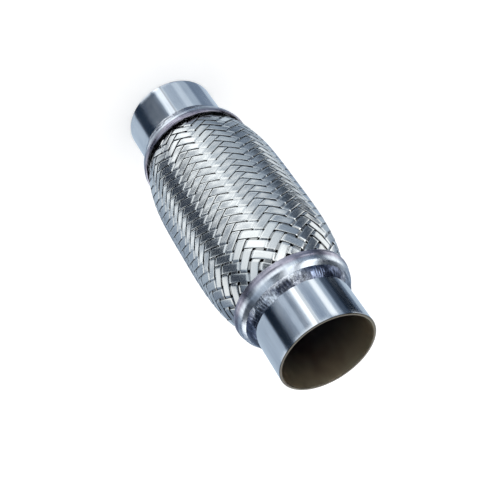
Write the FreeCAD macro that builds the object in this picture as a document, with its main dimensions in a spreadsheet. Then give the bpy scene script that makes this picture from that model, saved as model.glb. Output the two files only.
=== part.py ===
import FreeCAD, Part
import Sketcher
import functools
import math
import os
import re

# A braided exhaust flex pipe, standing on its lower mouth. Z runs along the pipe, the origin is the
# centre of the lower mouth, and sizes are in millimetres. The upper half mirrors the lower half, so a
# place on either end is given as a depth: its distance from that end's mouth.

SIZES = (
    ("overall_length", 200.0, "from mouth to mouth"),
    ("pipe_diameter", 54.0, "outside of each nipple"),
    ("pipe_wall", 1.5, "wall of each nipple"),
    ("rim_round", 0.3, "edge round at each mouth"),
    ("nipple_length", 46.0, "from the mouth to the end inside the braid"),
    ("weld_depth", 25.8, "mouth to the toe of the weld"),
    ("weld_crown", 10.0, "radius of the weld's convex face"),
    ("ring_depth", 31.4, "mouth to the small end of the end ring"),
    ("ring_length", 8.6, "small end to the edge of the lip"),
    ("ring_sheet", 1.4, "end wall of the ring"),
    ("ring_step", 2.8, "small end, outside, above the pipe"),
    ("shoulder_length", 4.8, "small end to the crease"),
    ("shoulder_step", 5.4, "crease above the pipe"),
    ("shoulder_bend", 9.0, "radius of the convex shoulder"),
    ("crease_width", 0.6, "crease between shoulder and lip"),
    ("crease_drop", 0.2, "depth of the crease"),
    ("lip_step", 6.1, "lip, outside, above the pipe"),
    ("lip_wall", 1.2, "wall of the lip"),
    ("lip_round", 0.6, "round of the lip's outer edge"),
    ("crimp_length", 1.0, "flat of the ring that grips the braid"),
    ("flare_length", 3.0, "crimp to the inside of the lip"),
    ("flare_wall", 1.3, "wall where the flare meets the lip"),
    ("liner_wall", 0.7, "wall of the inner braid sleeve"),
    ("ply_wall", 0.3, "wall of each ply of the bellows"),
    ("cuff_length", 15.0, "plain end of the bellows"),
    ("convolutions", 12, "corrugations of the bellows"),
    ("convolution_height", 7.7, "crest above the cuff, both outside"),
    ("flank_lean", 1.0, "how far a flank leans along the pipe"),
    ("bellows_clearance", 0.5, "crest to the inside of the braid"),
    ("braid_wall", 0.45, "braid between its ridges"),
    ("ridge_height", 0.6, "a float above the braid's wall at its middle"),
    ("ridge_end_height", 0.25, "a float above the braid's wall at its ends"),
    ("braid_clearance", 1.0, "braid to the inside of the lip"),
    ("barrel_rise", 7.2, "middle of the braid above its ends at the lips"),
    ("strand_pairs", 12, "a quarter of the strands, half of those each way"),
    ("braid_angle", 61.0, "strand to the pipe's axis at the middle, degrees"),
    ("float_inset", 0.2, "share of a crossing taken by the groove beside a float"),
    ("gap_reach", 0.13, "share of a crossing's side opened by a gap"),
    ("gap_rows", 2, "rows of gaps beside each ring"),
)
BARREL_POWER = 4
ENDS = ("lower", "upper")

doc = FreeCAD.newDocument("FlexPipe")
sheet = doc.addObject("Spreadsheet::Sheet", "Sizes")
for row, (alias, value, note) in enumerate(SIZES, start=1):
    sheet.set("A%d" % row, alias)
    sheet.set("B%d" % row, str(value))
    sheet.set("C%d" % row, note)
    sheet.setAlias("B%d" % row, alias)
doc.recompute()
ALIASES = {alias for alias, value, note in SIZES}


@functools.cache
def size(alias):
    return float(getattr(sheet, alias))


def on_sheet(text):
    """Turns size names in a formula into references to the sheet."""
    return re.sub(r"[a-z_]+", lambda word: "Sizes." + word[0] if word[0] in ALIASES else word[0], text)


@functools.cache
def worth(text):
    """Value of a formula of size names."""
    result = sheet.evalExpression(on_sheet(text))
    return float(getattr(result, "Value", result))


# Radii that several pieces share
PIPE = "pipe_diameter / 2"
BORE = PIPE + " - pipe_wall"
LINER = PIPE + " + liner_wall"
CUFF = LINER + " + 2 * ply_wall"
CRIMP = CUFF + " + braid_wall + ridge_height"
LIP_OUTSIDE = PIPE + " + lip_step"
LIP_INSIDE = LIP_OUTSIDE + " - lip_wall"

# Depths that several pieces share
STACK_DEPTH = "ring_depth + ring_sheet"
LIP_DEPTH = "ring_depth + ring_length"


def height(end, depth):
    """Formula for the height of a place at a depth from the mouth of one end."""
    return depth if end == "lower" else "overall_length - (%s)" % depth


def arc_between(start, finish, bend, inward):
    """Arc of radius bend between two places, bulging away from the inward side, and whether it runs
    anticlockwise from start to finish."""
    chord = finish - start
    side = FreeCAD.Vector(-chord.y, chord.x, 0).normalize() * inward
    sagitta_side = math.sqrt(max(bend ** 2 - (chord.Length / 2) ** 2, 0.0))
    centre = (start + finish) * 0.5 + side * sagitta_side
    angles = [math.atan2(place.y - centre.y, place.x - centre.x) for place in (start, finish)]
    forward = inward > 0
    first, last = angles if forward else reversed(angles)
    if last < first:
        last += 2 * math.pi
    circle = Part.Circle(centre, FreeCAD.Vector(0, 0, 1), bend)
    return Part.ArcOfCircle(circle, first, last), forward


def draw_outline(sketch, corners):
    """Draws a closed outline. Each corner is a formula for its radius and one for its height, and may
    add the radius of a convex arc that leads to the next corner."""
    places = [FreeCAD.Vector(worth(corner[0]), worth(corner[1]), 0) for corner in corners]
    count = len(corners)
    area = sum(places[k - 1].x * places[k].y - places[k].x * places[k - 1].y for k in range(count))
    inward = 1 if area > 0 else -1
    starts, finishes = [], []
    for k, corner in enumerate(corners):
        start, finish = places[k], places[(k + 1) % count]
        if len(corner) == 2:
            edge = sketch.addGeometry(Part.LineSegment(start, finish))
            forward = True
        else:
            arc, forward = arc_between(start, finish, worth(corner[2]), inward)
            edge = sketch.addGeometry(arc)
            bend = sketch.addConstraint(Sketcher.Constraint("Radius", edge, worth(corner[2])))
            sketch.setExpression("Constraints[%d]" % bend, on_sheet(corner[2]))
        starts.append((edge, 1 if forward else 2))
        finishes.append((edge, 2 if forward else 1))
    for k, corner in enumerate(corners):
        sketch.addConstraint(Sketcher.Constraint("Coincident", *finishes[k - 1], *starts[k]))
        for kind, formula in (("DistanceX", corner[0]), ("DistanceY", corner[1])):
            rule = sketch.addConstraint(Sketcher.Constraint(kind, -1, 1, *starts[k], worth(formula)))
            sketch.setExpression("Constraints[%d]" % rule, on_sheet(formula))


def turned_body(name, corners):
    """Body turned about the pipe's axis from a closed outline of its wall."""
    body = doc.addObject("PartDesign::Body", name)
    body.Label = name
    sketch = body.newObject("Sketcher::SketchObject", name + "_section")
    plane = [item for item in body.Origin.OriginFeatures if item.Role == "XZ_Plane"][0]
    sketch.AttachmentSupport = (plane, "")
    sketch.MapMode = "FlatFace"
    draw_outline(sketch, corners)
    turning = body.newObject("PartDesign::Revolution", name + "_turning")
    turning.Profile = sketch
    turning.ReferenceAxis = (sketch, ["V_Axis"])
    turning.Angle = 360
    body.Tip = turning
    return body


def nipple(end):
    """Straight tube with a rounded rim, open at both ends."""
    mouth = height(end, "0")
    rim = height(end, "rim_round")
    inner = height(end, "nipple_length")
    return turned_body(end + "_nipple", (
        (BORE + " + rim_round", mouth),
        (PIPE + " - rim_round", mouth, "rim_round"),
        (PIPE, rim),
        (PIPE, inner),
        (BORE, inner),
        (BORE, rim, "rim_round"),
    ))


def weld_bead(end):
    """Fillet weld that fills the corner between the nipple and the small end of the ring."""
    foot = height(end, "ring_depth")
    return turned_body(end + "_weld_bead", (
        (PIPE, foot),
        (PIPE, height(end, "weld_depth"), "weld_crown"),
        (PIPE + " + ring_step", foot),
    ))


def end_ring(end):
    """Pressed ring: end wall on the nipple, convex shoulder, crease, and a lip that stands proud of the
    braid. Inside, a short flat crimps the braid onto the cuff and a flare opens to the lip."""
    crease = "ring_depth + shoulder_length"
    crimp_end = STACK_DEPTH + " + crimp_length"
    flare_end = crimp_end + " + flare_length"
    return turned_body(end + "_end_ring", (
        (PIPE, height(end, "ring_depth")),
        (PIPE + " + ring_step", height(end, "ring_depth"), "shoulder_bend"),
        (PIPE + " + shoulder_step", height(end, crease)),
        (PIPE + " + shoulder_step - crease_drop", height(end, crease + " + crease_width / 2")),
        (PIPE + " + shoulder_step + crease_drop", height(end, crease + " + crease_width")),
        (LIP_OUTSIDE, height(end, LIP_DEPTH + " - lip_round"), "lip_round"),
        (LIP_OUTSIDE + " - lip_round", height(end, LIP_DEPTH)),
        (LIP_INSIDE, height(end, LIP_DEPTH)),
        (PIPE + " + shoulder_step - flare_wall", height(end, flare_end)),
        (CRIMP, height(end, crimp_end)),
        (CRIMP, height(end, STACK_DEPTH)),
        (PIPE, height(end, STACK_DEPTH)),
    ))


def inner_braid_sleeve():
    """Liner that bridges the nipples, gripped outside them by the cuffs."""
    return turned_body("inner_braid_sleeve", (
        (PIPE, height("lower", STACK_DEPTH)),
        (LINER, height("lower", STACK_DEPTH)),
        (LINER, height("upper", STACK_DEPTH)),
        (PIPE, height("upper", STACK_DEPTH)),
    ))


def free_piece(name, shape):
    """Object for a shape that the loops below work out from the sheet."""
    piece = doc.addObject("Part::Feature", name)
    piece.Label = name
    piece.Shape = shape
    piece.Placement = FreeCAD.Placement()
    return piece


MIDDLE = size("overall_length") / 2
BARREL = worth(LIP_INSIDE + " - braid_clearance + barrel_rise")


def braid_radius(z):
    """Outside of the braid over its floats: a barrel that dips under both lips and ends in the crimps."""
    reach = abs(z - MIDDLE) / (MIDDLE - worth(LIP_DEPTH))
    return max(worth(CRIMP), BARREL - size("barrel_rise") * reach ** BARREL_POWER)


def side_step(before, corner, after, distance):
    """Corner of the line that runs beside a bent line at a distance."""
    into, out = (corner - before).normalize(), (after - corner).normalize()
    normal = FreeCAD.Vector(-into.z - out.z, 0, into.x + out.x).normalize()
    lean = normal.x * -into.z + normal.z * into.x
    return corner + normal * (distance / lean)


def bellows_line():
    """Line between the two plies: cuff, convolutions, cuff. Crests near the ends stay under the braid."""
    root = worth(LINER + " + ply_wall")
    first = worth(STACK_DEPTH)
    start = first + size("cuff_length")
    count = int(size("convolutions"))
    pitch = 2 * (MIDDLE - start) / count
    flank = size("flank_lean")
    flat = (pitch - 2 * flank) / 2
    line = [(root, first)]
    for k in range(count):
        foot = start + k * pitch + flat / 2
        ends = (foot + flank, foot + flank + flat)
        limit = min(braid_radius(z) for z in ends) - worth("ridge_height + braid_wall + bellows_clearance")
        crest = min(root + size("convolution_height"), limit - size("ply_wall"))
        line += [(root, foot), (crest, ends[0]), (crest, ends[1]), (root, ends[1] + flank)]
    line.append((root, 2 * MIDDLE - first))
    return [FreeCAD.Vector(radius, 0, z) for radius, z in line]


def bellows_ply(name, distance):
    """Thin corrugated tube on one side of the line between the plies."""
    line = bellows_line()
    before = [line[0] * 2 - line[1]] + line[:-1]
    after = line[1:] + [line[-1] * 2 - line[-2]]
    beside = [side_step(*corner, distance) for corner in zip(before, line, after)]
    wall = Part.Face(Part.makePolygon(line + beside[::-1] + line[:1]))
    return free_piece(name, wall.revolve(FreeCAD.Vector(), FreeCAD.Vector(0, 0, 1), 360))


def crossing_rows():
    """Heights of the rows of crossings, with the middle of the pipe midway between two of them. The
    length of strand between two crossings is the same all along the braid, so the rows spread where
    the barrel narrows."""
    turn = math.pi / (2 * size("strand_pairs"))
    strand = turn * BARREL / math.sin(math.radians(size("braid_angle")))
    limit = MIDDLE - worth(STACK_DEPTH + " + crimp_length + flare_length")
    reach = math.sqrt(strand ** 2 - (turn * BARREL) ** 2) / 2
    rows = []
    while reach <= limit:
        rows.append(reach)
        across = turn * braid_radius(MIDDLE + reach)
        reach += math.sqrt(strand ** 2 - across ** 2)
    return [MIDDLE - reach for reach in reversed(rows)] + [MIDDLE + reach for reach in rows]


def between(place, other, share):
    """Place on the lattice a share of the way to another."""
    return tuple(a + (b - a) * share for a, b in zip(place, other))


class BraidWall:
    """Closed wall of flat facets. A place on it is (column, row) on a lattice whose crossings have an
    even sum and whose holes between strands have an odd one."""

    def __init__(self):
        self.rows = crossing_rows()
        self.columns = int(4 * size("strand_pairs"))
        self.centre = len(self.rows) // 2
        self.open_rows = self.rows_beside_lips(int(size("gap_rows")))
        self.points = []
        self.numbers = {}
        self.facets = []

    def rows_beside_lips(self, count):
        """Rows whose holes are open: the first ones that the lips leave uncovered."""
        covered = max(2, sum(1 for z in self.rows if z < worth(LIP_DEPTH)))
        lower = range(covered, covered + count)
        return {row for k in lower for row in (k, len(self.rows) - 1 - k)}

    def point(self, column, row, layer, rise):
        """Number of the point at a place, which may lie between lattice lines."""
        key = (round(column % self.columns, 6), round(row, 6), layer)
        if key not in self.numbers:
            below = min(int(math.floor(row)), len(self.rows) - 2)
            z = self.rows[below] + (row - below) * (self.rows[below + 1] - self.rows[below])
            radius = braid_radius(z) - size("ridge_height") + rise
            angle = 2 * math.pi * (column + 0.5) / self.columns
            self.numbers[key] = len(self.points)
            self.points.append(FreeCAD.Vector(radius * math.cos(angle), radius * math.sin(angle), z))
        return self.numbers[key]

    def face(self, *corners):
        """Fan of facets over a polygon of point numbers."""
        for k in range(1, len(corners) - 1):
            self.facets.append((corners[0], corners[k], corners[k + 1]))

    def corner_points(self, corner, before, after, across, layer, rise):
        """Numbers of the points that stand for one corner of a float: the corner itself, or the side of
        a gap that opens there."""
        if corner[1] not in self.open_rows:
            return [self.point(*corner, layer, rise)]
        reach = size("gap_reach")
        places = [between(corner, before, reach), between(corner, after, reach)]
        if across:
            places.insert(1, between(corner, across, reach / 2))
        return [self.point(*place, layer, rise) for place in places]

    def add_float(self, cells):
        """One float: a raised top with a groove all round, the wall behind it and its share of the
        gaps. Each cell is a crossing that the float covers."""
        (column, row), (last_column, last_row) = cells[0], cells[-1]
        if len(cells) == 1:
            outline = [(column - 1, row), (column, row - 1), (column + 1, row), (column, row + 1)]
            sides = ()
        elif last_row > row:
            outline = [(column + 1, row), (column + 2, row + 1), (column + 1, row + 2),
                       (column, row + 1), (column - 1, row), (column, row - 1)]
            sides = (0, 3)
        else:
            outline = [(column, row - 1), (column + 1, row - 2), (column + 2, row - 1),
                       (column + 1, row), (column, row + 1), (column - 1, row)]
            sides = (0, 3)
        middle = between(cells[0], cells[-1], 0.5)
        outside, inside, top = [], [], []
        for k, corner in enumerate(outline):
            before, after = outline[k - 1], outline[(k + 1) % len(outline)]
            across = outline[(k + 3) % len(outline)] if k in sides else None
            outside.append(self.corner_points(corner, before, after, across, "outside", 0.0))
            inside.append(self.corner_points(corner, before, after, across, "inside", -size("braid_wall")))
            near = [cell for cell in cells if abs(cell[0] - corner[0]) + abs(cell[1] - corner[1]) == 1]
            target = middle if k in sides else near[0]
            rise = size("ridge_height" if k in sides else "ridge_end_height")
            top.append(self.point(*between(corner, target, size("float_inset")), "top", rise))
        for k, points in enumerate(outside):
            following = (k + 1) % len(outline)
            for first, second, back_first, back_second in zip(points, points[1:], inside[k], inside[k][1:]):
                self.face(first, second, top[k])
                self.face(second, first, back_first, back_second)
            self.face(points[-1], outside[following][0], top[following], top[k])
        self.face(*top[:4])
        if sides:
            self.face(top[3], top[4], top[5], top[0])
        ring = [point for points in inside for point in points]
        apex = len(inside[0]) // 2
        self.face(*(ring[apex:] + ring[:apex])[::-1])

    def add_band(self, ring, following):
        """Facets between two closed rings of points."""
        for k in range(self.columns):
            after = (k + 1) % self.columns
            self.face(ring[k], ring[after], following[after], following[k])

    def add_collar(self, upper):
        """Plain end of the wall, from the edge of the lattice to the flat that the ring crimps."""
        edge, step = (len(self.rows) - 1, -1) if upper else (0, 1)
        outer, inner = [], []
        for column in range(self.columns):
            row = edge if self.is_crossing(column, edge + step) else edge + step
            outer.append(self.point(column, row, "outside", 0.0))
            inner.append(self.point(column, row, "inside", -size("braid_wall")))
        rings = [inner]
        flat = math.cos(math.pi / self.columns)
        stack, crimp_end = worth(STACK_DEPTH), worth(STACK_DEPTH + " + crimp_length")
        for radius, depth in ((worth(CUFF) / flat, stack), (worth(CRIMP), stack),
                              (worth(CRIMP), crimp_end)):
            z = 2 * MIDDLE - depth if upper else depth
            first = len(self.points)
            for column in range(self.columns):
                angle = 2 * math.pi * (column + 0.5) / self.columns
                self.points.append(FreeCAD.Vector(radius * math.cos(angle), radius * math.sin(angle), z))
            rings.append(list(range(first, first + self.columns)))
        rings.append(outer)
        if upper:
            rings.reverse()
        for ring, following in zip(rings, rings[1:]):
            self.add_band(ring, following)

    def is_crossing(self, column, row):
        return (column + row - self.centre) % 2 == 0

    def solid(self):
        """Weaves the floats: even pairs of columns run down to the right, odd pairs up."""
        last = len(self.rows) - 1
        for column in range(0, self.columns, 2):
            climb = -1 if column % 4 == 0 else 1
            for row in range(-1, last + 2):
                cells = [(column, row), (column + 1, row + climb)]
                cells = [cell for cell in cells if 1 <= cell[1] < last]
                if cells and self.is_crossing(column, row):
                    self.add_float(cells)
        self.add_collar(upper=False)
        self.add_collar(upper=True)
        skin = Part.Shape()
        skin.makeShapeFromMesh((self.points, self.facets), 0.001)
        return Part.Solid(skin if skin.ShapeType == "Shell" else Part.Shell(skin.Faces))


def outer_braid():
    """Tubular braid as one wall: ridges where strands float over their neighbours, and rows of open
    gaps beside each ring, where the braid is widest open."""
    return free_piece("outer_braid", BraidWall().solid())


for end in ENDS:
    nipple(end)
    weld_bead(end)
    end_ring(end)
inner_braid_sleeve()
bellows_ply("bellows_inner_ply", -size("ply_wall"))
bellows_ply("bellows_outer_ply", size("ply_wall"))
outer_braid()
doc.recompute()

for item in doc.Objects:
    if "Invalid" in item.State or "Error" in item.State:
        raise RuntimeError("%s failed to build: %s" % (item.Label, item.State))
pieces = [item for item in doc.Objects if item.TypeId in ("PartDesign::Body", "Part::Feature")]
for piece in pieces:
    if piece.Shape.isNull() or not piece.Shape.isValid() or piece.Shape.Volume <= 0:
        raise RuntimeError("%s is not a sound solid" % piece.Label)
os.makedirs("parts", exist_ok=True)
for piece in pieces:
    piece.Shape.exportStep(os.path.join("parts", piece.Label + ".step"))
    print("%-20s %9.1f mm3, %5d faces" % (piece.Label, piece.Shape.Volume, len(piece.Shape.Faces)))
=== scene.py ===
import math
import random
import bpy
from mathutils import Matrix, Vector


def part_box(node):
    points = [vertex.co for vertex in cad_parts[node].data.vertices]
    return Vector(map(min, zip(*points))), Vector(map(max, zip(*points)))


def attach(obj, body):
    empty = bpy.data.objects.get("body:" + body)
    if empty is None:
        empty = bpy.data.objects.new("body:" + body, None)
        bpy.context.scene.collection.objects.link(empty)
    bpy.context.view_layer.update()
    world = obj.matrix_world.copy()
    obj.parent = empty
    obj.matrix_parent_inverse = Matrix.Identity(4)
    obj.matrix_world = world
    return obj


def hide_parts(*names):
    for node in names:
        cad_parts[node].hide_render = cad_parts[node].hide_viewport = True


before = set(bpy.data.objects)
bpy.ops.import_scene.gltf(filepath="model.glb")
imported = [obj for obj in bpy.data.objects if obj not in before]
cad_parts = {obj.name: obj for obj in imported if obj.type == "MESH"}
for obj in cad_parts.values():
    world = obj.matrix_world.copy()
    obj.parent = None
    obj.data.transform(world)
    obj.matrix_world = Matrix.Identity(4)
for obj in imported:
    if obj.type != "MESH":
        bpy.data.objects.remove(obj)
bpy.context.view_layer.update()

from types import SimpleNamespace

import bpy
import numpy as np
from mathutils import Matrix, Vector

# An exhaust flex pipe standing on its lower mouth, Z along the pipe, in metres. The two ends mirror each
# other, so a place on either is given as a depth: its distance from that end's mouth.

MM = 0.001

# Sizes read from the frame
pipe_low, pipe_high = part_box("upper_nipple")
ring_low, ring_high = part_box("upper_end_ring")
LENGTH = pipe_high.z
MIDDLE = LENGTH / 2
PIPE_RADIUS = pipe_high.x
PIPE_DEPTH = LENGTH - pipe_low.z
LIP_RADIUS = ring_high.x
LIP_DEPTH = LENGTH - ring_low.z
RING_DEPTH = LENGTH - ring_high.z
WELD_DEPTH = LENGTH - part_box("upper_weld_bead")[1].z
BRAID_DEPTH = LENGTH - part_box("outer_braid")[1].z

# Nipples and rings
PIPE_WALL = 1.5 * MM
RIM_ROUND = 0.45 * MM
OUT_OF_ROUND = 0.02 * MM
RING_SHEET = 1.4 * MM
RING_UNEVEN = 0.05 * MM
LIP_WALL = 1.2 * MM
LIP_INSIDE = LIP_RADIUS - LIP_WALL
CRIMP_RADIUS = PIPE_RADIUS + 2.35 * MM

# The barrel of the braid, and its strands
BARREL_RISE = 7.2 * MM
BARREL_POWER = 4
BRAID_MOUTH = LIP_INSIDE - 1.0 * MM
BARREL_RADIUS = BRAID_MOUTH + BARREL_RISE
STRANDS_EACH_WAY = 24
BRAID_ANGLE = math.radians(61)
STRAND_WIDTH = 4.05 * MM
STRAND_SHEET = 0.22 * MM
STRAND_HOLLOW = 0.02 * MM
EDGE_DROP = 0.2 * STRAND_SHEET
WEAVE_SWING = 0.28 * MM
WEAVE_SETBACK = 0.50 * MM
FLOAT_DIP = 0.20 * MM

# The camera: its lens, the upper mouth and the pipe's up direction as it sees them, with x right, y down and
# z forward, and its own azimuth round the pipe
LENS = 72.94
SENSOR = 36.0
MOUTH_IN_VIEW = Vector((38.59, 50.45, 497.11)) * MM
UP_IN_VIEW = Vector((0.4318, 0.6571, -0.6179)).normalized()
CAMERA_AZIMUTH = math.radians(-82.5)

# Angles round the pipe of the nipples' seam and of the hottest stretch of the welds
SEAM_ANGLE = CAMERA_AZIMUTH - 0.145
BURN_ANGLE = CAMERA_AZIMUTH - 0.85


# Node helpers


def new_material(name):
    """Node material, with its tree and its shader."""
    material = bpy.data.materials.new(name)
    material.use_nodes = True
    return material, material.node_tree, material.node_tree.nodes["Principled BSDF"]


def new_metal(name):
    material, tree, shader = new_material(name)
    shader.inputs["Metallic"].default_value = 1.0
    return material, tree, shader


def add_node(tree, kind, **settings):
    """Adds a node. A setting is the value of an input or a property of the node."""
    node = tree.nodes.new(kind)
    for name, value in settings.items():
        if name in node.inputs:
            node.inputs[name].default_value = value
        else:
            setattr(node, name, value)
    return node


def link(tree, source, target):
    tree.links.new(source, target)


def math_node(tree, operation, first, second=None):
    """Adds a Math node. Each operand is a number or a socket."""
    node = add_node(tree, "ShaderNodeMath", operation=operation)
    for socket, value in zip(node.inputs, (first, second)):
        if isinstance(value, (int, float)):
            socket.default_value = value
        elif value is not None:
            link(tree, value, socket)
    return node.outputs[0]


def ramp_node(tree, value, stops):
    """Adds a colour ramp. A stop is a position and a grey or a colour."""
    node = add_node(tree, "ShaderNodeValToRGB")
    elements = node.color_ramp.elements
    while len(elements) > 1:
        elements.remove(elements[-1])
    for index, (position, colour) in enumerate(stops):
        element = elements[0] if index == 0 else elements.new(position)
        element.position = position
        colour = (colour,) * 3 if isinstance(colour, (int, float)) else colour
        element.color = (*colour, 1.0)
    link(tree, value, node.inputs[0])
    return node.outputs[0]


def mix_colour(tree, factor, first, second, blend="MIX"):
    """Adds a colour Mix node. Each operand is a number, a colour or a socket."""
    node = add_node(tree, "ShaderNodeMix", data_type="RGBA", blend_type=blend)
    operands = ((node.inputs[0], factor), (node.inputs[6], first), (node.inputs[7], second))
    for socket, value in operands:
        if isinstance(value, (int, float)):
            socket.default_value = value
        elif isinstance(value, tuple):
            socket.default_value = (*value, 1.0)
        else:
            link(tree, value, socket)
    return node.outputs[2]


def multiply(tree, first, second):
    return mix_colour(tree, 1.0, first, second, "MULTIPLY")


def noise_node(tree, vector, scale, stretch=(1, 1, 1), detail=4.0, roughness=0.5):
    mapping = add_node(tree, "ShaderNodeMapping")
    mapping.inputs["Scale"].default_value = stretch
    link(tree, vector, mapping.inputs["Vector"])
    noise = add_node(tree, "ShaderNodeTexNoise", Scale=scale, Detail=detail, Roughness=roughness)
    link(tree, mapping.outputs[0], noise.inputs["Vector"])
    return noise.outputs["Fac"]


def bump_node(tree, height, distance, strength=1.0, before=None):
    node = add_node(tree, "ShaderNodeBump", Distance=distance, Strength=strength)
    link(tree, height, node.inputs["Height"])
    if before is not None:
        link(tree, before, node.inputs["Normal"])
    return node.outputs[0]


def smooth_rise(tree, value, low, high):
    """0 below low, 1 above high and a smooth rise between them."""
    node = add_node(tree, "ShaderNodeMapRange", interpolation_type="SMOOTHSTEP")
    link(tree, value, node.inputs["Value"])
    node.inputs["From Min"].default_value = low
    node.inputs["From Max"].default_value = high
    return node.outputs["Result"]


def pipe_place(tree, radius):
    """Sockets for the place on the pipe: its position, x, y, height, angle, and a vector of the length
    round the pipe at a radius and the height."""
    position = add_node(tree, "ShaderNodeTexCoord").outputs["Object"]
    split = add_node(tree, "ShaderNodeSeparateXYZ")
    link(tree, position, split.inputs[0])
    x, y, height = split.outputs
    angle = math_node(tree, "ARCTAN2", y, x)
    join = add_node(tree, "ShaderNodeCombineXYZ")
    link(tree, math_node(tree, "MULTIPLY", angle, radius), join.inputs[0])
    link(tree, height, join.inputs[1])
    return SimpleNamespace(position=position, x=x, y=y, height=height, angle=angle, around=join.outputs[0])


def distance_from_axis(tree, place):
    flat = add_node(tree, "ShaderNodeCombineXYZ")
    link(tree, place.x, flat.inputs[0])
    link(tree, place.y, flat.inputs[1])
    length = add_node(tree, "ShaderNodeVectorMath", operation="LENGTH")
    link(tree, flat.outputs[0], length.inputs[0])
    return length.outputs["Value"]


def near_mouth(tree, place, near, far):
    """1 at depths up to near and 0 beyond far, at both ends of the pipe."""
    from_middle = math_node(tree, "ABSOLUTE", math_node(tree, "SUBTRACT", place.height, MIDDLE))
    return smooth_rise(tree, from_middle, MIDDLE - far, MIDDLE - near)


def angle_from(tree, place, angle):
    return math_node(tree, "ABSOLUTE", math_node(tree, "SUBTRACT", place.angle, angle))


# Materials


def bore_soot_and_painted_shade(tree, place):
    """Brown and straw heat tint, with painted shade, dark and bluish, deep in the bore."""
    scorch = noise_node(tree, place.position, 32.0, (1, 1, 0.5), 3.0, 0.55)
    tint = ramp_node(tree, scorch, ((0.36, (0.50, 0.37, 0.28)), (0.50, (0.76, 0.66, 0.50)),
                                    (0.66, (0.90, 0.84, 0.66))))
    # Painted shade: darker and bluish deeper than 4 mm into the bore, fully so past 30 mm
    shaded = multiply(tree, tint, (0.16, 0.17, 0.26))
    return mix_colour(tree, near_mouth(tree, place, 4 * MM, 30 * MM), shaded, tint)


def nipple_material():
    """Drawn tube: smooth, with fine lines along the pipe, faint cloudy stains, a thin lengthwise seam, a
    rim darkened almost to black, and soot and painted shade in the bore."""
    material, tree, shader = new_metal("nipple_steel")
    place = pipe_place(tree, PIPE_RADIUS)
    lines = noise_node(tree, place.around, 900.0, (1.6, 0.05, 1), 3.0, 0.6)
    clouds = noise_node(tree, place.position, 60.0, (1, 1, 0.6), 4.0, 0.55)
    base = ramp_node(tree, clouds, ((0.3, (0.50, 0.515, 0.55)), (0.7, (0.60, 0.615, 0.64))))
    base = multiply(tree, base, ramp_node(tree, lines, ((0.3, 0.90), (0.7, 1.0))))
    seam_reach = 1.2 * MM
    off_seam = math_node(tree, "MULTIPLY", angle_from(tree, place, SEAM_ANGLE), PIPE_RADIUS / seam_reach)
    base = multiply(tree, base, ramp_node(tree, off_seam, ((0.0, 0.62), (0.35, 0.72), (0.6, 1.0))))
    inside = math_node(tree, "LESS_THAN", distance_from_axis(tree, place), PIPE_RADIUS - 0.3 * MM)
    base = mix_colour(tree, inside, base, bore_soot_and_painted_shade(tree, place))
    # The rim is darkened almost to black.
    rim = near_mouth(tree, place, 0.15 * MM, 0.5 * MM)
    base = mix_colour(tree, rim, base, multiply(tree, base, (0.075, 0.072, 0.07)))
    link(tree, base, shader.inputs["Base Color"])
    rough = ramp_node(tree, clouds, ((0.3, 0.10), (0.7, 0.16)))
    rough = mix_colour(tree, inside, rough, (0.36, 0.36, 0.36))
    link(tree, rough, shader.inputs["Roughness"])
    link(tree, bump_node(tree, lines, 0.01 * MM, 0.35), shader.inputs["Normal"])
    return material


def ring_material():
    """Pressed ring: a paler shoulder, a darker lip with a violet grey tint, and drag marks."""
    material, tree, shader = new_metal("ring_steel")
    place = pipe_place(tree, LIP_RADIUS)
    clouds = noise_node(tree, place.position, 70.0, (1, 1, 1), 4.0, 0.6)
    violet = ramp_node(tree, clouds, ((0.30, (0.20, 0.18, 0.23)), (0.5, (0.27, 0.25, 0.30)),
                                      (0.72, (0.36, 0.35, 0.40))))
    pale = ramp_node(tree, clouds, ((0.35, (0.42, 0.44, 0.49)), (0.5, (0.53, 0.55, 0.59)),
                                    (0.7, (0.64, 0.66, 0.69))))
    # The shoulder is paler and the lip darker and violet grey.
    shoulder = near_mouth(tree, place, RING_DEPTH + 3.6 * MM, RING_DEPTH + 5.6 * MM)
    tint = mix_colour(tree, shoulder, violet, pale)
    drag = noise_node(tree, place.around, 500.0, (1.0, 0.12, 1), 4.0, 0.7)
    base = multiply(tree, tint, ramp_node(tree, drag, ((0.35, 0.78), (0.6, 1.0))))
    link(tree, base, shader.inputs["Base Color"])
    link(tree, ramp_node(tree, clouds, ((0.3, 0.22), (0.7, 0.33))), shader.inputs["Roughness"])
    link(tree, bump_node(tree, drag, 0.03 * MM, 0.4), shader.inputs["Normal"])
    return material


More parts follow.
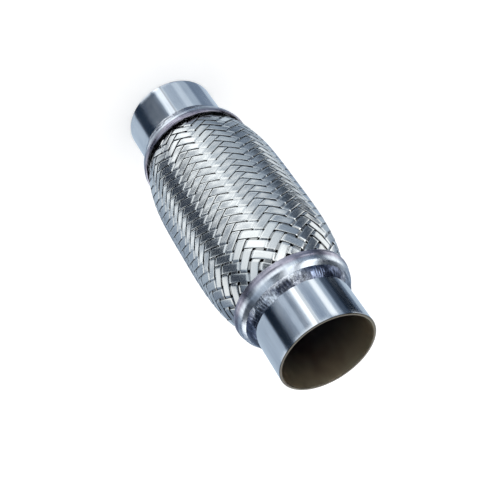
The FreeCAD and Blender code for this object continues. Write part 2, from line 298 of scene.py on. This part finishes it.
def weld_material():
    """Weld metal: bright ripples, grey soot in patches, a bluish burn where it ran hottest, and fine
    scratches."""
    material, tree, shader = new_metal("weld_steel")
    place = pipe_place(tree, PIPE_RADIUS)
    patches = noise_node(tree, place.position, 170.0, (1, 1, 1), 5.0, 0.7)
    scratches = noise_node(tree, place.around, 600.0, (1.0, 0.55, 1), 4.0, 0.75)
    tint = ramp_node(tree, patches, ((0.38, (0.09, 0.10, 0.14)), (0.48, (0.32, 0.33, 0.37)),
                                     (0.60, (0.60, 0.61, 0.64))))
    scorch = noise_node(tree, place.position, 26.0, (1, 1, 1), 2.0, 0.5)
    hottest = ramp_node(tree, angle_from(tree, place, BURN_ANGLE), ((0.3, 1.0), (0.6, 0.0)))
    burnt = math_node(tree, "ADD", scorch, math_node(tree, "MULTIPLY", hottest, -0.24))
    burn_tint = ramp_node(tree, burnt, ((0.32, (0.30, 0.34, 0.46)), (0.50, (1.0, 1.0, 1.0))))
    base = multiply(tree, multiply(tree, tint, burn_tint),
                    ramp_node(tree, scratches, ((0.4, 0.45), (0.56, 1.0))))
    link(tree, base, shader.inputs["Base Color"])
    link(tree, ramp_node(tree, patches, ((0.3, 0.36), (0.65, 0.16))), shader.inputs["Roughness"])
    lumps = noise_node(tree, place.position, 420.0, (1, 1, 1), 3.0, 0.6)
    rough_skin = bump_node(tree, lumps, 0.22 * MM, 0.55)
    link(tree, bump_node(tree, scratches, 0.06 * MM, 0.6, rough_skin), shader.inputs["Normal"])
    return material


def strand_material():
    """Flat strand: fine brushing along its length, painted shade at its edges and dips, and a tone for each
    float.
    """
    material, tree, shader = new_metal("braid_steel")
    along = add_node(tree, "ShaderNodeUVMap", uv_map="strand").outputs[0]
    brushing = noise_node(tree, along, 9000.0, (1.0, 0.02, 1), 3.0, 0.6)
    broad = noise_node(tree, along, 1500.0, (1.0, 0.06, 1), 3.0, 0.6)
    tone = add_node(tree, "ShaderNodeAttribute", attribute_name="tone").outputs["Fac"]
    # Painted shade: the strand is darker at its edges and where it dips under its neighbours
    painted_shade = add_node(tree, "ShaderNodeAttribute", attribute_name="painted_shade").outputs["Fac"]
    base = ramp_node(tree, tone, ((0.0, (0.50, 0.50, 0.497)), (1.0, (0.61, 0.607, 0.597))))
    base = multiply(tree, base, ramp_node(tree, painted_shade, ((0.0, 0.5), (0.4, 1.0))))
    for lines in (brushing, broad):
        base = multiply(tree, base, ramp_node(tree, lines, ((0.3, 0.88), (0.7, 1.0))))
    link(tree, base, shader.inputs["Base Color"])
    link(tree, ramp_node(tree, broad, ((0.3, 0.20), (0.7, 0.26))), shader.inputs["Roughness"])
    link(tree, bump_node(tree, brushing, 0.01 * MM, 0.15), shader.inputs["Normal"])
    shader.inputs["Anisotropic"].default_value = 0.5
    tangent = add_node(tree, "ShaderNodeTangent", direction_type="UV_MAP", uv_map="strand")
    link(tree, tangent.outputs[0], shader.inputs["Tangent"])
    return material


def liner_material():
    """Woven wire liner: a fine criss-cross of wires in dull steel, with painted shade between the wires."""
    material, tree, shader = new_metal("liner_steel")
    place = pipe_place(tree, PIPE_RADIUS)
    wire_pitch = 2.2 * MM
    around = add_node(tree, "ShaderNodeSeparateXYZ")
    link(tree, place.around, around.inputs[0])
    waves = []
    for turn in (1, -1):
        slope = math_node(tree, "MULTIPLY", around.outputs[1], turn)
        across = math_node(tree, "ADD", around.outputs[0], slope)
        waves.append(math_node(tree, "SINE", math_node(tree, "MULTIPLY", across, 2 * math.pi / wire_pitch)))
    wires = math_node(tree, "MAXIMUM", *waves)
    # Painted shade: dark in the hollows between the wires
    base = ramp_node(tree, wires, ((0.2, (0.10, 0.10, 0.10)), (0.9, (0.42, 0.41, 0.39))))
    link(tree, base, shader.inputs["Base Color"])
    link(tree, ramp_node(tree, wires, ((0.2, 0.6), (0.9, 0.4))), shader.inputs["Roughness"])
    link(tree, bump_node(tree, wires, 0.25 * MM, 0.8), shader.inputs["Normal"])
    return material


def bellows_material():
    """Thin formed tube, dull, with a near-black base colour: painted shade behind the braid."""
    material, tree, shader = new_metal("bellows_steel")
    clouds = noise_node(tree, pipe_place(tree, PIPE_RADIUS).position, 90.0, (1, 1, 1), 4.0, 0.6)
    # Painted shade: the bellows are coloured near black, as they lie in shade behind the braid
    link(tree, ramp_node(tree, clouds, ((0.3, 0.06), (0.7, 0.12))), shader.inputs["Base Color"])
    link(tree, ramp_node(tree, clouds, ((0.3, 0.5), (0.7, 0.65))), shader.inputs["Roughness"])
    return material


# Mesh helpers


def add_piece(name, mesh, material, replaced, sharp):
    """Puts a mesh in the scene, smooth apart from edges sharper than an angle in degrees, in place of a
    node of the frame."""
    mesh.shade_smooth()
    mesh.set_sharp_from_angle(angle=math.radians(sharp))
    mesh.materials.append(material)
    piece = bpy.data.objects.new(name, mesh)
    bpy.context.scene.collection.objects.link(piece)
    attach(piece, "root")
    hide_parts(replaced)


def wander(seed, count, fewest):
    """Smooth closed random wave round the pipe, between about -1 and 1. Each of its parts has between
    fewest and six times as many turns."""
    waves = random.Random(seed)
    parts = [(waves.randint(fewest, fewest * 6), waves.uniform(0, 2 * math.pi), waves.uniform(0.4, 1))
             for _ in range(count)]
    total = sum(size for turns, start, size in parts)
    return lambda angle: sum(size * math.sin(turns * angle + start) for turns, start, size in parts) / total


def rounded(outline, steps=6):
    """Closed outline of (radius, depth) corners, each with its own rounding radius, as fine points."""
    points = []
    count = len(outline)
    for k, (radius, depth, bend) in enumerate(outline):
        corner = Vector((radius, depth))
        before = Vector(outline[k - 1][:2]) - corner
        after = Vector(outline[(k + 1) % count][:2]) - corner
        reach = min(bend, before.length * 0.49, after.length * 0.49)
        if reach <= 0:
            points.append(corner)
            continue
        start, finish = corner + before.normalized() * reach, corner + after.normalized() * reach
        for step in range(steps + 1):
            t = step / steps
            points.append(start * (1 - t) ** 2 + corner * (2 * t * (1 - t)) + finish * t ** 2)
    return points


def turned_mesh(name, end, profiles):
    """Ring-shaped mesh from one closed profile of (radius, depth) for each turn, evenly round the pipe."""
    points, faces = [], []
    turns, count = len(profiles), len(profiles[0])
    for turn, profile in enumerate(profiles):
        angle = 2 * math.pi * turn / turns
        for radius, depth in profile:
            height = LENGTH - depth if end == "upper" else depth
            points.append((radius * math.cos(angle), radius * math.sin(angle), height))
        here, there = turn * count, (turn + 1) % turns * count
        for k in range(count):
            quad = (here + k, there + k, there + (k + 1) % count, here + (k + 1) % count)
            faces.append(quad if end == "lower" else quad[::-1])
    mesh = bpy.data.meshes.new(name)
    mesh.from_pydata(points, [], faces)
    mesh.validate()
    return mesh


LATHE_TURNS = 360


def lathe(name, end, outline, uneven):
    """Turned mesh from one closed outline. uneven(angle, radius) moves a point outward, for the small
    unevenness of the real surface."""
    profiles = []
    for turn in range(LATHE_TURNS):
        angle = 2 * math.pi * turn / LATHE_TURNS
        profiles.append([(radius + uneven(angle, radius), depth) for radius, depth in outline])
    return turned_mesh(name, end, profiles)


# The woven braid


def braid_radius(z):
    """Outside of the braid over its floats."""
    reach = np.abs(z - MIDDLE) / (MIDDLE - LIP_DEPTH)
    return np.maximum(CRIMP_RADIUS, BARREL_RADIUS - BARREL_RISE * reach ** BARREL_POWER)


# A lattice of crossings: strands cross at whole columns round the pipe and whole rows along it
COLUMN_TURN = math.pi / STRANDS_EACH_WAY
CROSSING_STEP = COLUMN_TURN * BARREL_RADIUS / math.sin(BRAID_ANGLE)
ROW_SHARE = 0.02


def row_heights():
    """Row number and height in fine steps up from the middle, which lies midway between two rows. A
    strand keeps its length between two crossings, so the rows spread where the barrel narrows."""
    rows, heights = [0.0], [MIDDLE]
    while heights[-1] < LENGTH - BRAID_DEPTH:
        across = COLUMN_TURN * float(braid_radius(np.array(heights[-1])))
        rows.append(rows[-1] + ROW_SHARE)
        heights.append(heights[-1] + ROW_SHARE * math.sqrt(CROSSING_STEP ** 2 - across ** 2))
    return np.array(rows), np.array(heights)


# A strand ends one fine step inside the braid
ROWS, HEIGHTS = row_heights()
LAST_ROW = ROWS[-1] - ROW_SHARE - 0.5


def height_of_row(row):
    steps = row + 0.5
    return MIDDLE + np.sign(steps) * (np.interp(np.abs(steps), ROWS, HEIGHTS) - MIDDLE)


# Along a strand the weave repeats every eight half steps between crossings: above two strands about 0,
# below two about 4
REPEAT = 8
FLOAT_REACH = 2.32
FLOAT_FALL = 0.64
FLOAT_HALF = 2


def from_float(x):
    """Place along a strand as half steps from the middle of its nearest float."""
    return (x + REPEAT / 2) % REPEAT - REPEAT / 2


def float_share(x):
    """1 where a strand is above its neighbours and 0 where it is below."""
    share = np.clip((FLOAT_REACH - np.abs(from_float(x))) / FLOAT_FALL, 0, 1)
    return share * share * (3 - 2 * share)


def weave_height(x, dip, lean, twist):
    """How far a strand stands off the braid's middle surface. Each float has its own dip at the middle,
    which makes it flat on the barrel, lean towards one end and twist."""
    swing = WEAVE_SWING * (2 * float_share(x) - 1)
    x = from_float(x)
    arch = np.clip(1 - (x / FLOAT_HALF) ** 2, 0, 1)
    return swing + arch * (twist + lean * x - FLOAT_DIP * dip)


# Places across a strand, top then back, and between two crossings along it
ACROSS_TOP = (-1.0, -0.94, -0.6, 0.0, 0.6, 0.94, 1.0)
ACROSS_BACK = (0.9, 0.0, -0.9)
ALONG = (-1.0, -0.86, -0.7, -0.45, -0.15, 0.15, 0.45, 0.7, 0.86)

# Ranges of the random dip, twist, lean in millimetres and tone of a float, and spread of its side shift
FLOAT_DRAWS = ((1.15, 1.5), (-0.02, 0.02), (-0.02, 0.02), (0.0, 1.0))
SIDE_SPREAD = 0.02

# Painted shade on a strand's edges, and where across it that starts
EDGE_SHADE = 0.45
EDGE_START = 0.93

# Shifts of the brushing from strand to strand and between the families, so that no two look the same
STRAND_SHIFT = 0.01
FAMILY_SHIFT = 0.3


def strand(family, index):
    """Points, texture places, tones and shades of one strand, by step along it and place across it. It
    runs along lattice line `index`; family -1 falls to the right and 1 climbs to the right."""
    line = 2 * index
    last = 2 * math.ceil(LAST_ROW)
    along = np.array([line + k + step for k in range(-last, last + 1, 2) for step in ALONG])[:, None]
    side = np.array(ACROSS_TOP + ACROSS_BACK)[None, :]
    phase = 1 - line if family < 0 else 5 - line
    floats = np.floor((along - phase + REPEAT / 2) / REPEAT).astype(int)
    floats -= floats.min()
    count = floats.max() + 1
    draws = random.Random(index * 2 + (family > 0))
    dip, twist, lean, tone = (np.array([draws.uniform(low, high) for _ in range(count)])[floats]
                              for low, high in FLOAT_DRAWS)
    shift = np.array([draws.gauss(0, SIDE_SPREAD) for _ in range(count)])[floats]

    across = COLUMN_TURN * braid_radius(height_of_row((along - line) / 2 * family))
    spacing = 2 * across * np.sqrt(CROSSING_STEP ** 2 - across ** 2) / CROSSING_STEP
    offset = side * STRAND_WIDTH / spacing + shift
    column = (line + offset + along) / 2
    row = family * (along - line - offset) / 2
    keep = (np.abs(row + 0.5) <= LAST_ROW + 0.5).all(axis=1)

    z = height_of_row(row)
    stand = weave_height(along - phase, dip, lean * MM, twist * side * STRAND_WIDTH / 2)
    section = STRAND_HOLLOW * side ** 2 - EDGE_DROP * (np.abs(side) == 1.0) - STRAND_SHEET / 2
    section[:, :len(ACROSS_TOP)] += STRAND_SHEET
    radius = braid_radius(z) - WEAVE_SETBACK + stand + section
    angle = (column + 0.5) * COLUMN_TURN
    points = np.stack([radius * np.cos(angle), radius * np.sin(angle), z], -1)
    places = np.stack(np.broadcast_arrays(side * STRAND_WIDTH / 2 + index * STRAND_SHIFT,
                                          along * CROSSING_STEP / 2 + family * FAMILY_SHIFT), -1)
    # Painted shade: darker at the strand's edges and where it dips under its neighbours
    edge = 1.0 - EDGE_SHADE * np.clip((np.abs(side) - EDGE_START) / (1 - EDGE_START), 0, 1)
    painted_shade = float_share(along - phase) * edge
    tone = np.broadcast_to(tone, painted_shade.shape)
    return [values[keep] for values in (points, places, tone, painted_shade)]


def strand_group(name, family, indices, material):
    """Several strands of one family as one piece."""
    points, faces, places, tones, painted_shades = [], [], [], [], []
    for index in indices:
        grid, place, tone, painted_shade = strand(family, index)
        steps, ring = grid.shape[:2]
        base = len(points)
        points.extend(grid.reshape(-1, 3).tolist())
        places.extend(place.reshape(-1, 2).tolist())
        tones.extend(tone.reshape(-1).tolist())
        painted_shades.extend(painted_shade.reshape(-1).tolist())
        for step in range(steps - 1):
            here, there = base + step * ring, base + (step + 1) * ring
            for k in range(ring):
                quad = (here + k, here + (k + 1) % ring, there + (k + 1) % ring, there + k)
                faces.append(quad if family > 0 else quad[::-1])
        for cap, order in ((base, -family), (base + (steps - 1) * ring, family)):
            loop = [cap + k for k in range(ring)]
            faces.append(loop if order > 0 else loop[::-1])
    mesh = bpy.data.meshes.new(name)
    mesh.from_pydata(points, [], faces)
    for label, values in (("tone", tones), ("painted_shade", painted_shades)):
        mesh.attributes.new(label, "FLOAT", "POINT").data.foreach_set("value", values)
    layer = mesh.uv_layers.new(name="strand")
    corners = np.zeros(len(mesh.loops), dtype=np.int32)
    mesh.loops.foreach_get("vertex_index", corners)
    layer.data.foreach_set("uv", np.array(places, dtype=np.float32)[corners].reshape(-1))
    add_piece(name, mesh, material, "outer_braid", sharp=50)


def weave_braid():
    """Four pieces: half the strands of each family in each."""
    material = strand_material()
    half = STRANDS_EACH_WAY // 2
    for family, word in ((-1, "falling"), (1, "climbing")):
        for part in range(2):
            indices = range(part * half, (part + 1) * half)
            strand_group("braid_%s_%d" % (word, part + 1), family, indices, material)


# Turned pieces


def make_nipple(end, material):
    """Tube with a rounded rim at its mouth, very slightly out of round."""
    out_of_round = wander(31 if end == "upper" else 32, count=4, fewest=2)
    bore = PIPE_RADIUS - PIPE_WALL
    parts = 12
    depths = [k / parts * PIPE_DEPTH for k in range(1, parts)]
    outline = [(bore, 0.0, RIM_ROUND), (PIPE_RADIUS, 0.0, RIM_ROUND)]
    outline += [(PIPE_RADIUS, depth, 0) for depth in depths + [PIPE_DEPTH]]
    outline += [(bore, depth, 0) for depth in [PIPE_DEPTH] + depths[::-1]]
    name = "nipple_tube_" + end
    mesh = lathe(name, end, rounded(outline), lambda angle, radius: OUT_OF_ROUND * out_of_round(angle))
    add_piece(name, mesh, material, end + "_nipple", sharp=35)


def make_ring(end, material):
    """End wall, convex shoulder and lip, flared inside from the crimp, with a slightly uneven pressed
    surface clear of the pipe."""
    uneven = wander(41 if end == "upper" else 42, count=6, fewest=3)
    outline = [
        (PIPE_RADIUS, RING_DEPTH, 0),
        (PIPE_RADIUS + 2.8 * MM, RING_DEPTH, 0.3 * MM),
        (PIPE_RADIUS + 4.9 * MM, RING_DEPTH + 2.4 * MM, 3.5 * MM),
        (PIPE_RADIUS + 5.35 * MM, RING_DEPTH + 4.9 * MM, 1.8 * MM),
        (PIPE_RADIUS + 5.95 * MM, RING_DEPTH + 6.2 * MM, 1.6 * MM),
        (LIP_RADIUS - 0.05 * MM, LIP_DEPTH - 1.0 * MM, 1.0 * MM),
        (LIP_RADIUS - 0.15 * MM, LIP_DEPTH, 0.8 * MM),
        (LIP_INSIDE, LIP_DEPTH, 0.3 * MM),
        (PIPE_RADIUS + 4.1 * MM, LIP_DEPTH - 3.2 * MM, 0.5 * MM),
        (CRIMP_RADIUS, RING_DEPTH + RING_SHEET + 1.0 * MM, 0.5 * MM),
        (CRIMP_RADIUS, RING_DEPTH + RING_SHEET, 0),
        (PIPE_RADIUS, RING_DEPTH + RING_SHEET, 0),
    ]
    name = "end_ring_shell_" + end
    clear_of_pipe = PIPE_RADIUS + 2 * MM
    mesh = lathe(name, end, rounded(outline),
                 lambda angle, radius: RING_UNEVEN * uneven(angle) * (radius > clear_of_pipe))
    add_piece(name, mesh, material, end + "_end_ring", sharp=35)


# The weld: how high it climbs the ring, how far it laps over the ring's end wall, how much both its edges
# wander, and its crown with blobs and a slow swell
WELD_RISE = 3.0 * MM
WELD_LAP = 0.45 * MM
WELD_WANDER = 0.35 * MM
WELD_CROWN = 0.40 * MM
BLOB_RISE = 0.26 * MM
SWELL_RISE = 0.14 * MM

# Its ripples: number, height and how that varies, then bow and uneven pace in radians of one ripple
RIPPLES = 96
RIPPLE_RISE = 0.05 * MM
RIPPLE_SPREAD = 0.07 * MM
RIPPLE_BOW = 6.0
SWELL_PACE = 5.0
BLOB_PACE = 3.0


def make_weld(end, material):
    """Fillet weld laid in overlapping ripples, with a wandering toe and small blobs."""
    first_seed = 50 if end == "upper" else 60
    toe, width, swell, blob = (wander(first_seed + k, count=7, fewest=4) for k in range(4))
    sections = 18
    turns = 12 * RIPPLES
    profiles = []
    for turn in range(turns):
        angle = 2 * math.pi * turn / turns
        start = WELD_DEPTH + WELD_WANDER * toe(angle)
        finish = RING_DEPTH + WELD_LAP + WELD_WANDER * width(angle)
        pace = RIPPLES * angle + SWELL_PACE * swell(angle) + BLOB_PACE * blob(angle)
        rise = RIPPLE_RISE + RIPPLE_SPREAD * width(angle)
        crown = WELD_CROWN + BLOB_RISE * blob(angle) + SWELL_RISE * swell(angle)
        profile = []
        for k in range(sections + 1):
            share = k / sections
            ripple = rise * (0.5 + 0.5 * math.sin(pace + RIPPLE_BOW * (share - 0.5) ** 2))
            bulge = math.sin(math.pi * share) * (crown + ripple)
            profile.append((PIPE_RADIUS + WELD_RISE * share + bulge, start + (finish - start) * share))
        profile.append((PIPE_RADIUS, RING_DEPTH))
        profiles.append(profile)
    name = "weld_ripples_" + end
    add_piece(name, turned_mesh(name, end, profiles), material, end + "_weld_bead", sharp=60)


def dress_frame():
    """Materials for the frame's own pieces that stay in view."""
    bellows, liner = bellows_material(), liner_material()
    for node, material in (("bellows_outer_ply", bellows), ("bellows_inner_ply", bellows),
                           ("inner_braid_sleeve", liner)):
        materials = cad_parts[node].data.materials
        materials.clear()
        materials.append(material)


# The studio


def place_camera():
    """Puts the camera where it sees the upper mouth and the pipe's axis as the photograph does."""
    east = UP_IN_VIEW.orthogonal().normalized()
    to_world = Matrix((east, UP_IN_VIEW.cross(east), UP_IN_VIEW))
    mouth = Vector((0, 0, LENGTH))
    place = mouth - to_world @ MOUTH_IN_VIEW
    to_world = Matrix.Rotation(CAMERA_AZIMUTH - math.atan2(place.y, place.x), 3, "Z") @ to_world
    place = mouth - to_world @ MOUTH_IN_VIEW
    view_axes = Matrix(((1, 0, 0), (0, -1, 0), (0, 0, -1)))
    camera = bpy.data.cameras.new("camera")
    camera.lens = LENS
    camera.sensor_width = SENSOR
    camera.clip_start = 0.01
    holder = bpy.data.objects.new("camera", camera)
    bpy.context.scene.collection.objects.link(holder)
    holder.matrix_world = Matrix.Translation(place) @ (to_world @ view_axes).to_4x4()
    bpy.context.scene.camera = holder


# Half the floor's side in metres, and how much it glows where the camera sees it
FLOOR_HALF = 4.0
FLOOR_GLOW = 0.26


def make_floor():
    """Plain white floor that keeps the pipe's soft shadow."""
    material, tree, shader = new_material("floor_white")
    shader.inputs["Base Color"].default_value = (0.9, 0.9, 0.9, 1)
    shader.inputs["Roughness"].default_value = 0.9
    shader.inputs["Specular IOR Level"].default_value = 0.0
    glow = add_node(tree, "ShaderNodeEmission")
    ray = add_node(tree, "ShaderNodeLightPath")
    strength = math_node(tree, "MULTIPLY", ray.outputs["Is Camera Ray"], FLOOR_GLOW)
    link(tree, strength, glow.inputs["Strength"])
    both = add_node(tree, "ShaderNodeAddShader")
    link(tree, shader.outputs[0], both.inputs[0])
    link(tree, glow.outputs[0], both.inputs[1])
    link(tree, both.outputs[0], tree.nodes["Material Output"].inputs["Surface"])
    mesh = bpy.data.meshes.new("floor")
    corners = [(x * FLOOR_HALF, y * FLOOR_HALF, 0) for x, y in ((-1, -1), (1, -1), (1, 1), (-1, 1))]
    mesh.from_pydata(corners, [], [(0, 1, 2, 3)])
    mesh.materials.append(material)
    floor = bpy.data.objects.new("floor", mesh)
    bpy.context.scene.collection.objects.link(floor)
    floor.visible_glossy = False


# What the metal mirrors: six belts of soft boxes and dark cards round the pipe, one above another. A belt
# has its plain surround's brightness, then for each box or card, in their order round the pipe, its middle
# and half width in degrees of azimuth from the camera and its brightness. The braid mirrors mostly the
# floor, middle and high belts, the lower nipple the low belt, and the upper nipple the near one.
FLOOR_BELT = (0.4, ((-128, 9, 1.1), (-100, 9, 0.10), (-70, 9, 0.6), (-34, 12, 1.6), (-3, 8, 2.9),
                    (33, 17, 2.4), (73, 9, 0.05), (101, 9, 1.9)))
LOW_BELT = (0.75, ((-110, 19, 0.36), (-57, 7, 1.1), (-10, 8, 1.6), (7, 3, 0.18), (30, 17, 0.10),
                   (68, 15, 0.04)))
MIDDLE_BELT = (0.5, ((-118, 12, 1.6), (-91, 9, 0.09), (-62, 9, 0.6), (-32, 12, 1.8), (-5, 9, 2.9),
                     (30, 16, 2.3), (66, 9, 0.05), (94, 10, 2.2)))
NEAR_BELT = (0.74, ((-127, 3, 0.22), (-105, 11, 0.02), (-82, 5, 0.13), (-57, 5, 1.9), (-32, 6, 0.50),
                    (-12, 5, 2.2), (7, 4, 0.24), (22, 2, 0.65), (33, 4, 0.26), (44, 3, 0.14),
                    (62, 10, 0.02)))
HIGH_BELT = (0.4, ((-114, 14, 2.0), (-85, 8, 0.09), (-57, 9, 0.5), (-28, 11, 1.4), (0, 9, 2.1),
                   (29, 12, 1.6), (59, 9, 0.05), (88, 12, 1.8)))
TOP_BELT = (0.03, ((-160, 22, 1.9), (-64, 10, 3.6), (-26, 9, 2.6), (30, 14, 1.1), (56, 5, 0.5),
                   (128, 14, 2.8), (162, 17, 3.2)))
BELTS = (FLOOR_BELT, LOW_BELT, MIDDLE_BELT, NEAR_BELT, HIGH_BELT, TOP_BELT)

# Vertical part of the mirrored direction where each belt starts and ends giving way to the next one up
BELT_BORDERS = ((-0.81, -0.78), (-0.695, -0.675), (-0.615, -0.59), (-0.49, -0.455), (0.0, 0.16))

# Width of a soft edge in degrees, and the brightness that a ramp's 1 stands for
CARD_EDGE = 4
BELT_RANGE = 4.0


def belt_stops(belt):
    """Colour ramp stops for a belt, with soft edges, as shares of the full turn and of the range."""
    surround, cards = belt
    places = [(-180, surround)]
    for k, (middle, half, level) in enumerate(cards):
        if middle - half - places[-1][0] > 2 * CARD_EDGE:
            places.append((middle - half - CARD_EDGE, surround))
        places += [(middle - half, level), (middle + half, level)]
        if k + 1 == len(cards) or cards[k + 1][0] - cards[k + 1][1] - middle - half > 2 * CARD_EDGE:
            places.append((middle + half + CARD_EDGE, surround))
    return [((degrees + 180) / 360, value / BELT_RANGE) for degrees, value in places if degrees <= 180]


def light_studio():
    """A soft studio as the world: metal mirrors the belts, with a cool tint where they are dark, all else
    is lit evenly, and the camera sees white."""
    world = bpy.data.worlds.new("studio")
    bpy.context.scene.world = world
    world.use_nodes = True
    tree = world.node_tree
    background = tree.nodes["Background"]
    direction = add_node(tree, "ShaderNodeTexCoord").outputs["Generated"]
    turned = add_node(tree, "ShaderNodeVectorRotate", rotation_type="Z_AXIS")
    turned.inputs["Angle"].default_value = math.pi - CAMERA_AZIMUTH
    link(tree, direction, turned.inputs["Vector"])
    split = add_node(tree, "ShaderNodeSeparateXYZ")
    link(tree, turned.outputs[0], split.inputs[0])
    x, y, height = split.outputs
    azimuth = math_node(tree, "ARCTAN2", math_node(tree, "MULTIPLY", y, -1.0),
                        math_node(tree, "MULTIPLY", x, -1.0))
    share = math_node(tree, "ADD", math_node(tree, "DIVIDE", azimuth, 2 * math.pi), 0.5)
    level, *higher = (ramp_node(tree, share, belt_stops(belt)) for belt in BELTS)
    for belt, (low, high) in zip(higher, BELT_BORDERS):
        level = mix_colour(tree, smooth_rise(tree, height, low, high), level, belt)
    tint = ramp_node(tree, level, ((0.0, (0.25, 0.5, 0.95)), (0.03, (0.36, 0.5, 0.72)),
                                   (0.2, (0.42, 0.5, 0.58)), (0.45, (0.48, 0.505, 0.515))))
    mirrored = multiply(tree, multiply(tree, level, tint), (2 * BELT_RANGE,) * 3)
    ray = add_node(tree, "ShaderNodeLightPath")
    soft = mix_colour(tree, ray.outputs["Is Glossy Ray"], (1.0, 1.0, 1.0), mirrored)
    seen = mix_colour(tree, ray.outputs["Is Camera Ray"], soft, (1.0, 1.0, 1.0))
    link(tree, seen, background.inputs["Color"])
    background.inputs["Strength"].default_value = 1.0
    bpy.context.scene.view_settings.view_transform = "Standard"


place_camera()
weave_braid()
nipple_steel, ring_steel, weld_steel = nipple_material(), ring_material(), weld_material()
for end in ("upper", "lower"):
    make_nipple(end, nipple_steel)
    make_ring(end, ring_steel)
    make_weld(end, weld_steel)
dress_frame()
make_floor()
light_studio()
